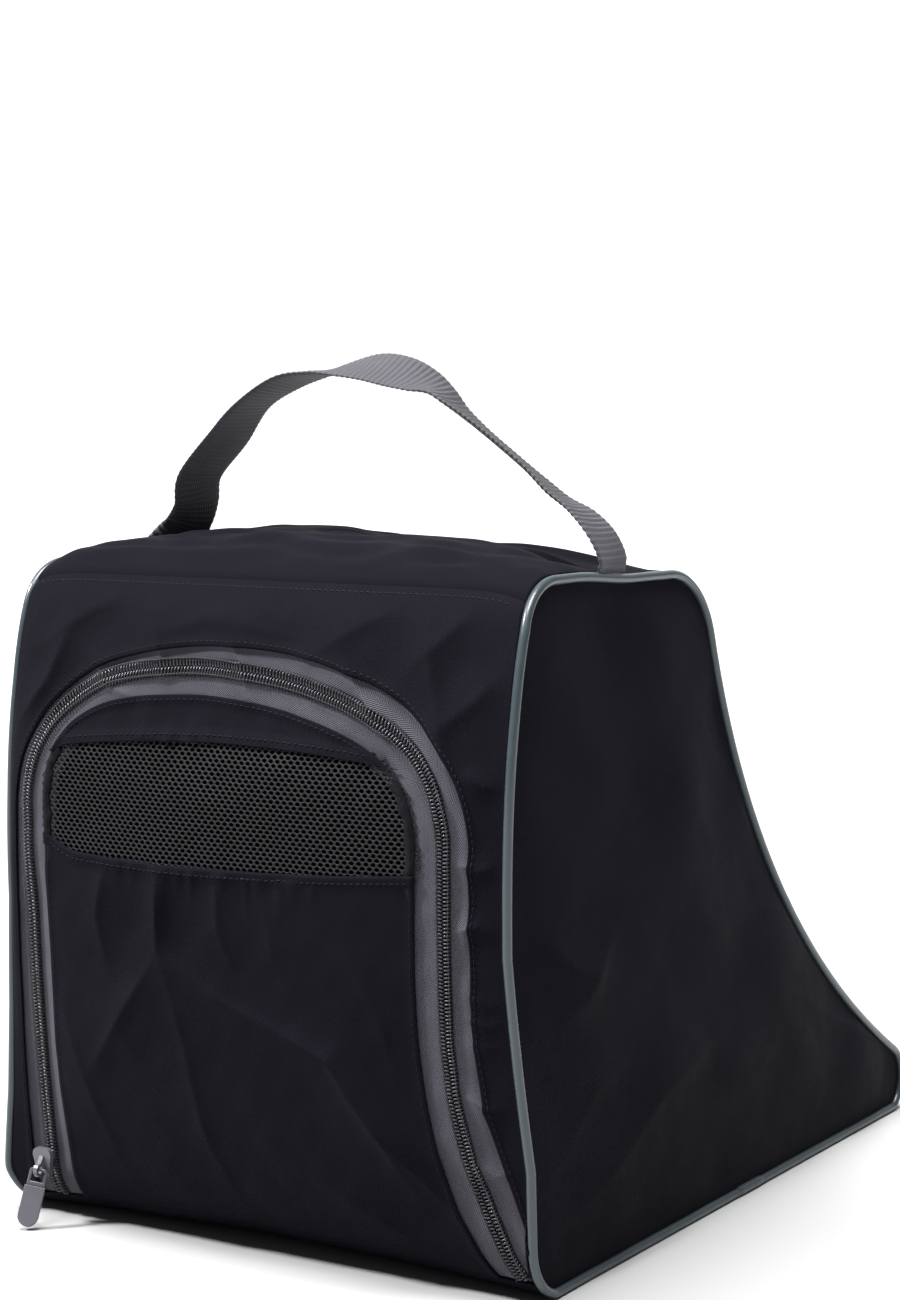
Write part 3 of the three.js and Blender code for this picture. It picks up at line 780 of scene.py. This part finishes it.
def coil_half(name, sign):
    """One row of the zip: a nylon wire bent into a loop at each stitch."""
    count = int((ZIP_LENGTH - 3) / COIL_PITCH)
    loop, s = coil_loop()
    d, o = loop[..., 0], loop[..., 1]
    starts = 1.5 + COIL_PITCH * (np.arange(count) + (0.5 if sign > 0 else 0.0))
    ss = (starts[:, None, None] + s[None]).reshape(-1)
    dd = np.broadcast_to(sign * d[None], (count, *d.shape)).reshape(-1)
    oo = np.broadcast_to(o[None], (count, *o.shape)).reshape(-1)
    quads = grid_faces(*d.shape, closed=True)
    if sign > 0:
        quads = quads[:, ::-1]
    points = on_front(np.concatenate([beside_zip(ss, dd), oo[:, None]], -1))
    return new_object(name, points, copies(d.reshape(-1), quads, count), COIL)


def stitch_template():
    """A short thread lying on cloth, sunk at both ends: along, across, out."""
    t = np.linspace(-0.5, 0.5, 5)
    section = oval(6, 1, 1)
    thick = np.array([0.35, 0.9, 1.0, 0.9, 0.35])
    lift = np.array([-0.25, 0.12, 0.2, 0.12, -0.25])
    a = np.repeat(t[:, None], 6, 1)
    b = section[None, :, 0] * thick[:, None]
    c = section[None, :, 1] * thick[:, None]
    return a, b, c, np.repeat(lift[:, None], 6, 1)


def stitches(name, line, material=THREAD, length=2.3, pitch=3.1, radius=0.24, out=0.0):
    """A row of stitches on the front, along a line of flat coordinates."""
    s = lengths(line)
    count = max(int(s[-1] / pitch), 2)
    at = np.linspace(pitch, s[-1] - pitch, count)
    a, b, c, lift = stitch_template()
    ss = at[:, None, None] + a[None] * length
    xz = values_at(ss, s, line) + values_at(ss, s, left_normals(line)) * b[..., None] * radius
    o = np.broadcast_to(out + c * radius + lift, ss.shape)
    flat = np.concatenate([xz, o[..., None]], -1).reshape(-1, 3)
    faces = copies(a.reshape(-1), grid_faces(5, 6, closed=True), count)
    return new_object(name, on_front(flat), faces, material)


def beside_line(d, margin=2.0):
    s = np.linspace(margin, ZIP_LENGTH - margin, 900)
    return beside_zip(s, np.interp(s / ZIP_LENGTH, ZIP_SHARE, np.broadcast_to(d, len(ZIP))))


def stretched(z, top):
    """Heights between the hem and top, spread out until top reaches the brow."""
    return HEM_Z + (z - HEM_Z) / (top - HEM_Z) * (BROW_Z - HEM_Z)


def frame_panel():
    """The front cloth round the arch: a fan of lines from the zip out to the seams."""
    s = np.linspace(0, ZIP_LENGTH, 420)
    inner = beside_zip(s, np.interp(s / ZIP_LENGTH, ZIP_SHARE, FRAME_EDGE))
    turn_left = int(np.argmax(inner[:, 1] > 240))
    turn_right = len(s) - 1 - int(np.argmax(inner[::-1, 1] > 236))
    outer = inner.copy()
    index = np.arange(len(s))
    left, right = index <= turn_left, index >= turn_right
    outer[left, 1] = stretched(inner[left, 1], inner[turn_left, 1])
    outer[right, 1] = stretched(inner[right, 1], inner[turn_right, 1])
    outer[left, 0] = -half_width(outer[left, 1]) - 0.8
    outer[right, 0] = half_width(outer[right, 1]) + 0.8
    top = ~left & ~right
    share = (index[top] - turn_left) / (turn_right - turn_left)
    edge = half_width(BROW_Z) + 0.8
    outer[top] = np.stack([-edge + 2 * edge * share, np.full(top.sum(), BROW_Z)], -1)
    outer[right, 0] = np.maximum(outer[right, 0], np.minimum(inner[right, 0], outer[right, 0]))
    v = np.linspace(0, 1, 30)
    xz = inner[:, None] + (outer - inner)[:, None] * v[None, :, None]
    gap = np.linalg.norm(xz - inner[:, None], axis=-1)
    points = on_front(np.concatenate([xz, edge_roll(gap)[..., None]], -1))
    piece = sheet_piece("front_cloth", points, FABRIC, 1.1)
    return with_shell(piece, "shell_fabric", "front_panel")


def net_folds():
    heights = ZIP[:, 1]
    peak = np.argmax(heights)
    for name, run in (("net_fold_left", np.arange(peak)), ("net_fold_right", np.arange(peak, len(ZIP)))):
        beside = run[(heights[run] > 171) & (heights[run] < 230)]
        net_fold(name, *(ZIP_SHARE[beside[[0, -1]]] * ZIP_LENGTH))


def zip_pieces():
    flap_tape = zip_strip("flap_tape", -0.5, -TAPE_EDGE, TAPE, 0.6, TAPE_OUT)
    with_flap(flap_tape, "zip_tape", "zip_tape_flap")
    frame_tape = zip_strip("frame_tape", 0.5, TAPE_EDGE, TAPE, 0.6, TAPE_OUT)
    with_shell(frame_tape, "zip_tape", "zip_tape_frame")
    with_flap(coil_half("flap_coil", -1), "zip_coil", "zip_coil_flap")
    with_shell(coil_half("frame_coil", 1), "zip_coil", "zip_coil_frame")
    sewing = dict(material=COIL_THREAD, length=1.5, pitch=COIL_PITCH, radius=0.3, out=0.75)
    with_flap(stitches("flap_coil_thread", beside_line(-COIL_SEAM), **sewing), "zip_coil")
    with_shell(stitches("frame_coil_thread", beside_line(COIL_SEAM), **sewing), "zip_coil")


def front_stitching():
    with_flap(stitches("flap_edge_stitches", beside_line(FLAP_EDGE - 1.8), out=0.45), "shell_fabric")
    with_shell(stitches("frame_edge_stitches", beside_line(FRAME_EDGE + 1.8), out=0.45), "shell_fabric")
    for name, edge, step in (
        ("window_low_stitches", window_low, -3.2), ("window_high_stitches", window_high, 3.2),
    ):
        left, right = zip_edges(np.array([edge(0.0)]), FLAP_EDGE - 1)
        x = np.linspace(left[0], right[0], 200)
        with_flap(stitches(name, np.stack([x, edge(x) + step], -1), out=0.75), "shell_fabric")
    half = half_width(BROW_Z) - 3
    line = np.stack([np.linspace(-half, half, 300), np.full(300, BROW_Z - 2.8)], -1)
    with_shell(stitches("brow_stitches", line), "shell_fabric")


def front_pieces():
    lower_panel()
    top_band()
    window_net()
    net_folds()
    frame_panel()
    zip_pieces()
    front_stitching()


# ---------- top, back and base ----------
def skin(line, relief, rows, columns, tuck=1.0):
    """Points of a panel that follows a stretch of the outline. relief takes x and share of the stretch."""
    profile = resample(line, rows)
    normal = left_normals(profile)
    u = np.linspace(-1, 1, columns)
    u = u * (1.15 - 0.15 * u * u)
    x = u[None] * (half_width(profile[:, 1]) + tuck)[:, None]
    share = np.linspace(0, 1, rows)[:, None]
    out = relief(u[None] + 0 * share, share + 0 * u[None], lengths(profile)[-1])
    y = profile[:, :1] + normal[:, :1] * out
    z = profile[:, 1:] + normal[:, 1:] * out
    return settle(np.stack([x, y, z], -1))


def edges_down(share, length, depth=1.6):
    return -depth * (bell(share * length, 0, 2.0) + bell(share * length, length, 2.0))


def top_relief(u, share, length):
    dome = (1 - u**4) * smooth(share, 0, 0.35) * (1 - smooth(share, 0.72, 1.0))
    x, s = u * 130, share * length
    folds = 1.8 * waves(x * 0.35, s, 21, 24, 60, 6) + 0.75 * waves(x * 0.6, s, 22, 12, 26, 6)
    inside = smooth(1 - np.abs(u), 0, 0.16) * smooth(share, 0.02, 0.14) * (1 - smooth(share, 0.88, 0.99))
    dent = -4.5 * bell(np.abs(x), 118, 16) * bell(s, 74, 26)
    return 8.0 * dome + (folds + dent) * inside + edges_down(share, length)


def back_relief(u, share, length):
    dome = (1 - u**4) * smooth(share, 0, 0.3) * (1 - smooth(share, 0.55, 1.0))
    x, s = u * 130, share * length
    inside = smooth(1 - np.abs(u), 0, 0.14) * smooth(share, 0.01, 0.08) * (1 - smooth(share, 0.9, 0.99))
    folds = 1.2 * waves(x, s, 31, 45, 110, 7) + 0.5 * waves(x, s, 32, 18, 40, 7)
    return 7 * dome + folds * inside + edges_down(share, length)


def base_relief(u, share, length):
    inside = smooth(1 - np.abs(u), 0, 0.1)
    return -0.25 * inside * (1 + waves(u * 130, share * length, 41, 30, 80, 5)) + 0 * share


def body_panels():
    for name, line, relief, rows, node in (
        ("top_cloth", TOP, top_relief, 110, "top_panel"),
        ("back_cloth", BACK, back_relief, 170, "back_panel"),
        ("base_cloth", BASE, base_relief, 150, "base_panel"),
    ):
        piece = sheet_piece(name, skin(line, relief, rows, 140), FABRIC, 1.3)
        with_shell(piece, "shell_fabric", node)


# ---------- sides ----------
SIDE_CREASES = (
    ([(-186, 152), (-168, 140), (-140, 132)], 1.6, 6.0),
    ([(-184, 118), (-160, 126), (-128, 150)], 1.8, 6.0),
    ([(-184, 60), (-150, 84), (-120, 92)], 1.5, 7.0),
    ([(-182, 28), (-140, 44), (-90, 70), (-40, 84)], 1.8, 9.0),
    ([(60, 150), (72, 120), (110, 84)], 1.6, 8.0),
)


def side_relief(y, z, rho, side):
    dome = 7.0 * (1 - rho**3.2)
    inside = smooth(1 - rho, 0, 0.12)
    folds = 1.0 * waves(y, z, 51 + side, 60, 130, 7) + 0.14 * waves(y, z, 61 + side, 20, 44, 7)
    if side > 0:
        for line, height, width in SIDE_CREASES:
            folds = folds + crease(y, z, line, height, width)
    return dome + folds * inside


def outline_ring(count, inset):
    """The whole outline as a closed ring of points, moved in by inset."""
    ring = resample(np.concatenate([OUTLINE, OUTLINE[:1]]), count + 1)[:-1]
    return ring - left_normals(np.concatenate([ring[-1:], ring, ring[:1]]))[1:-1] * inset


def side_panel(side, word):
    """Rings of points that shrink towards the panel's heart, closed by a fan of triangles."""
    ring = outline_ring(300, 1.6)
    heart = np.array([-70.0, 140.0])
    rho = np.linspace(0.02, 1, 56) ** 0.8
    yz = heart + (ring - heart)[None] * rho[:, None, None]
    y, z = yz[..., 0], yz[..., 1]
    relief = side_relief(y, z, np.repeat(rho[:, None], len(ring), 1), side)
    x = side * (HALF_BASE - 2.6 - LEAN * z + relief)
    points = settle(np.stack([x, y, z], -1))
    rows, columns = points.shape[:2]
    hub = points[0].mean(0)
    all_points = np.concatenate([points.reshape(-1, 3), hub[None]])
    faces = facing_out(all_points, grid_faces(rows, columns, closed=True))
    fan = [(i, (i + 1) % columns, rows * columns) for i in range(columns)]
    if (np.cross(points[0, 1] - points[0, 0], hub - points[0, 0])[0] > 0) != (side > 0):
        fan = [f[::-1] for f in fan]
    piece = new_object(word + "_side_cloth", all_points, faces.tolist() + fan, FABRIC)
    thicken(piece, "cloth", 1.2)
    return with_shell(piece, "shell_fabric", word + "_side_panel")


def piping(side, word):
    ring = outline_ring(620, 1.0)
    ring[:, 1] = np.maximum(ring[:, 1], PIPING_RADIUS)
    x = side * (HALF_BASE - PIPING_RADIUS - LEAN * ring[:, 1])
    line = settle(np.concatenate([x[:, None], ring], -1))
    made = closed_tube(word + "_piping_cord", line, oval(12, PIPING_RADIUS, PIPING_RADIUS), PIPING)
    with_shell(made, "piping", word + "_piping")


def piping_joint(side, word):
    """The short sleeve where the cord's two ends meet under the bag."""
    low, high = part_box(word + "_piping_joint")
    y = np.linspace(low.y / MM, high.y / MM, 40)
    x = np.full(40, side * (HALF_BASE - PIPING_RADIUS))
    middle = np.stack([x, y, np.full(40, PIPING_RADIUS + 0.25)], -1)
    radius = PIPING_RADIUS + 0.35 - 0.3 * (bell(y, y[0], 1.5) + bell(y, y[-1], 1.5))
    section = np.insert(oval(12, 1, 1), 1, 0, axis=1)
    rows = middle[:, None] + section[None] * radius[:, None, None]
    faces = facing_out(rows - middle.mean(0) + BAG_MIDDLE, grid_faces(40, 12, closed=True))
    with_shell(new_object(word + "_piping_sleeve", rows, faces, PIPING), "piping", word + "_piping_joint")


def cross_binding(name, corner, degrees):
    """Tape bound over the seam allowance inside one rounded corner, from side to side."""
    radial = on_circle((0, 0, 1), degrees)
    centre = np.array(corner[:2]) + radial * (corner[2] - 8.6)
    count, sides = 130, 20
    x = np.linspace(-124, 124, count)
    wobble = 0.5 * np.sin(x * 0.11) + 0.3 * np.sin(x * 0.31)
    yz = centre[None] + radial[None] * (0.15 * wobble)[:, None]
    line = settle(np.concatenate([x[:, None], yz], -1))
    section = oval(sides, 4.6, 1.15, 0.55)
    across = np.array([0, -radial[1], radial[0]])
    rows = line[:, None] + np.array([0, *radial])[None, None] * section[None, :, :1]
    rows = rows + across[None, None] * (section[None, :, 1:2] + wobble[:, None, None] * 0.35)
    faces = with_caps(grid_faces(count, sides, closed=True), count, sides)
    with_shell(new_object(name + "_tape", rows, faces, BINDING), "binding", name)


def side_binding(side, word):
    name = word + "_side_binding"
    low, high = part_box(name)
    outermost = max(abs(low.x), abs(high.x)) / MM - 1.4
    ring = outline_ring(360, 9.3)
    x = side * (outermost - LEAN * ring[:, 1])
    line = settle(np.concatenate([x[:, None], ring], -1))
    made = closed_tube(name + "_tape", line, oval(20, 1.1, 4.4, 0.55), BINDING)
    with_shell(made, "binding", name)


def seam_bindings():
    for name, corner, degrees in (
        ("front_top_binding", BROW, 135), ("back_top_binding", SHOULDER, 50),
        ("toe_binding", TOE, -20), ("hem_binding", HEM, 225),
    ):
        cross_binding(name, corner, degrees)
    for side, word in SIDES:
        side_binding(side, word)


# ---------- handle ----------
# Points along the strap's middle, and how far its width is turned from the bag's depth: the first
# angle towards +X, the second upwards at the back edge.
STRAP = (
    ((-127, -103, 298), 20, -8), ((-123, -97, 306), 20, -17), ((-117, -91, 315), 20, -20),
    ((-108, -94, 327), 18, -6), ((-101, -100, 341), 16, -8), ((-81, -106, 358), 10, -13),
    ((-62, -112, 374), 5, -4), ((-40, -115, 385), 0, -9), ((-23, -115, 389), 0, -1),
    ((-12, -115, 391), 0, 11), ((6, -115, 392), 0, 28), ((21, -115, 389.5), 0, 32),
    ((33, -115, 385.5), 0, 22), ((43, -115, 381), 0, 2), ((51, -115, 374.5), 0, -11),
    ((62, -115, 366.5), 0, -18), ((76, -115, 356.5), 0, -20), ((91, -115, 345.5), 0, -19),
    ((103, -115, 336), 0, -12), ((115, -115, 329), 0, -4), ((125, -116, 320), 0, 2),
    ((130.5, -116, 310), 0, 3), ((130, -116, 303.5), 0, 0),
)


def catmull(points, steps):
    """A smooth curve through every point."""
    p = np.concatenate([points[:1] * 2 - points[1:2], points, points[-1:] * 2 - points[-2:-1]])
    t = np.linspace(0, 1, steps, endpoint=False)[:, None]
    out = []
    for a, b, c, d in zip(p, p[1:], p[2:], p[3:]):
        square, cube = 2 * a - 5 * b + 4 * c - d, 3 * b - a - 3 * c + d
        out.append(0.5 * (2 * b + (c - a) * t + square * t**2 + cube * t**3))
    return np.concatenate([*out, points[-1:]])


def strap_axes():
    """Lengths along the strap, and its middle, width direction and face direction at each."""
    path = catmull(np.array([[*point, *turns] for point, *turns in STRAP], float), 30)
    s = lengths(path[:, :3])
    at = np.linspace(0, s[-1], int(s[-1] / 0.42))
    path = values_at(at, s, path)
    middle = path[:, :3]
    along = np.gradient(middle, axis=0)
    along /= np.linalg.norm(along, axis=1)[:, None]
    a, b = np.radians(path[:, 3]), np.radians(path[:, 4])
    width = np.stack([np.sin(a) * np.cos(b), np.cos(a) * np.cos(b), np.sin(b)], -1)
    width -= along * (width * along).sum(1)[:, None]
    width /= np.linalg.norm(width, axis=1)[:, None]
    return at, middle, width, np.cross(width, along)


def strap():
    at, middle, width, face = strap_axes()
    count, columns = len(at), 26
    v = np.linspace(-1, 1, columns)
    rib = 0.5 + 0.5 * np.cos(2 * math.pi * at[:, None] / RIB_PITCH + 0.35 * v[None] ** 2)
    edge = 1 - np.abs(v) ** 14
    thick = (0.62 + 0.38 * rib) * edge[None] + 0.12
    scallop = STRAP_HALF - 0.28 * (1 - rib[:, :1])
    cup = 0.9 * v[None] ** 2
    across = middle[:, None] + width[:, None] * (v[None] * scallop)[..., None]
    upper = across + face[:, None] * (thick - cup)[..., None]
    lower = across + face[:, None] * (-thick - cup)[..., None]
    rows = np.concatenate([upper, lower[:, ::-1]], 1)
    round_v = np.concatenate([v, v[::-1]]) * STRAP_HALF
    ss, vv = np.meshgrid(at, round_v, indexing="ij")
    faces = grid_faces(count, 2 * columns, closed=True)
    made = new_object("handle_webbing", rows, faces, WEBBING, np.stack([ss, vv, 0 * ss], -1))
    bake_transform(made)
    return described(made, "webbing", "handle_strap", "left_handle_foot", "right_handle_foot")


# ---------- hard parts that keep their frame shape ----------
def dress_hard_parts():
    for node, material, slot, round_off in (
        ("slider_body", METAL, "slider_metal", 0.45), ("slider_crown", METAL, "slider_metal", 0.4),
        ("pull_link", METAL, "slider_metal", 0.4), ("pull_grip", GRIP, "pull_grip", 0.7),
        ("base_board", BOARD, "base_board", 0.6),
    ):
        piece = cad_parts[node]
        piece.data.materials.clear()
        piece.data.materials.append(material)
        soften = piece.modifiers.new("soft edges", "BEVEL")
        soften.width, soften.segments, soften.limit_method = round_off * MM, 3, "ANGLE"
        soften.angle_limit = math.radians(35)


# ---------- stage ----------
def plain(name, colour, rough):
    n = Nodes(name)
    cloud = n.noise(n.place(), 3.0, 3)
    return n.finish(n.mix(cloud, colour, tuple(c * 0.985 for c in colour)), rough, Specular_IOR_Level=0.1)


def backdrop(tree):
    """A white backdrop behind the bag; the rest of the room is dim."""
    nodes, links = tree.nodes, tree.links
    where = nodes.new("ShaderNodeTexCoord").outputs["Generated"]
    facing = nodes.new("ShaderNodeVectorMath")
    facing.operation = "DOT_PRODUCT"
    facing.inputs[1].default_value = (-0.524, 0.852, 0.0)
    ramp = nodes.new("ShaderNodeValToRGB")
    links.new(where, facing.inputs[0])
    links.new(facing.outputs["Value"], ramp.inputs["Fac"])
    links.new(ramp.outputs["Color"], nodes["Background"].inputs["Color"])
    low, high = ramp.color_ramp.elements
    low.position, low.color = 0.55, (0.10, 0.10, 0.11, 1)
    high.position, high.color = 0.93, (1.0, 1.0, 1.0, 1)
    nodes["Background"].inputs["Strength"].default_value = 1.1


def sun(name, place, angle, power):
    data = bpy.data.lights.new(name, "SUN")
    data.energy, data.angle = power, math.radians(angle)
    lamp = bpy.data.objects.new(name, data)
    lamp.location = place
    lamp.rotation_euler = Vector(place).to_track_quat("Z", "Y").to_euler()
    bpy.context.scene.collection.objects.link(lamp)


def stage():
    size = 30.0
    corners = [(-size, -size, 0), (size, -size, 0), (size, size, 0), (-size, size, 0)]
    mesh = bpy.data.meshes.new("floor")
    mesh.from_pydata(corners, [], [(0, 1, 2, 3)])
    mesh.materials.append(plain("pale_floor", (0.42, 0.42, 0.42), 0.9))
    floor = bpy.data.objects.new("floor", mesh)
    bpy.context.scene.collection.objects.link(floor)
    world = bpy.data.worlds.new("studio")
    bpy.context.scene.world = world
    world.use_nodes = True
    backdrop(world.node_tree)
    sun("key", (-0.8, -0.52, 1.0), 9, 5.6)
    sun("top", (0.02, -0.1, 1.5), 34, 7.4)


def camera():
    data = bpy.data.cameras.new("camera")
    data.lens, data.sensor_width, data.sensor_fit = 77.54, 36, "AUTO"
    data.clip_end = 200
    seen = bpy.data.objects.new("camera", data)
    seen.location = (0.7048, -1.1829, 0.3800)
    seen.rotation_euler = (math.radians(90 - 5.21), 0, math.radians(31.58))
    bpy.context.scene.collection.objects.link(seen)
    bpy.context.scene.camera = seen


def build():
    bpy.context.scene.view_settings.view_transform = "Standard"
    front_pieces()
    body_panels()
    for side, word in SIDES:
        side_panel(side, word)
        piping(side, word)
        piping_joint(side, word)
    seam_bindings()
    strap()
    dress_hard_parts()
    stage()
    camera()


build()
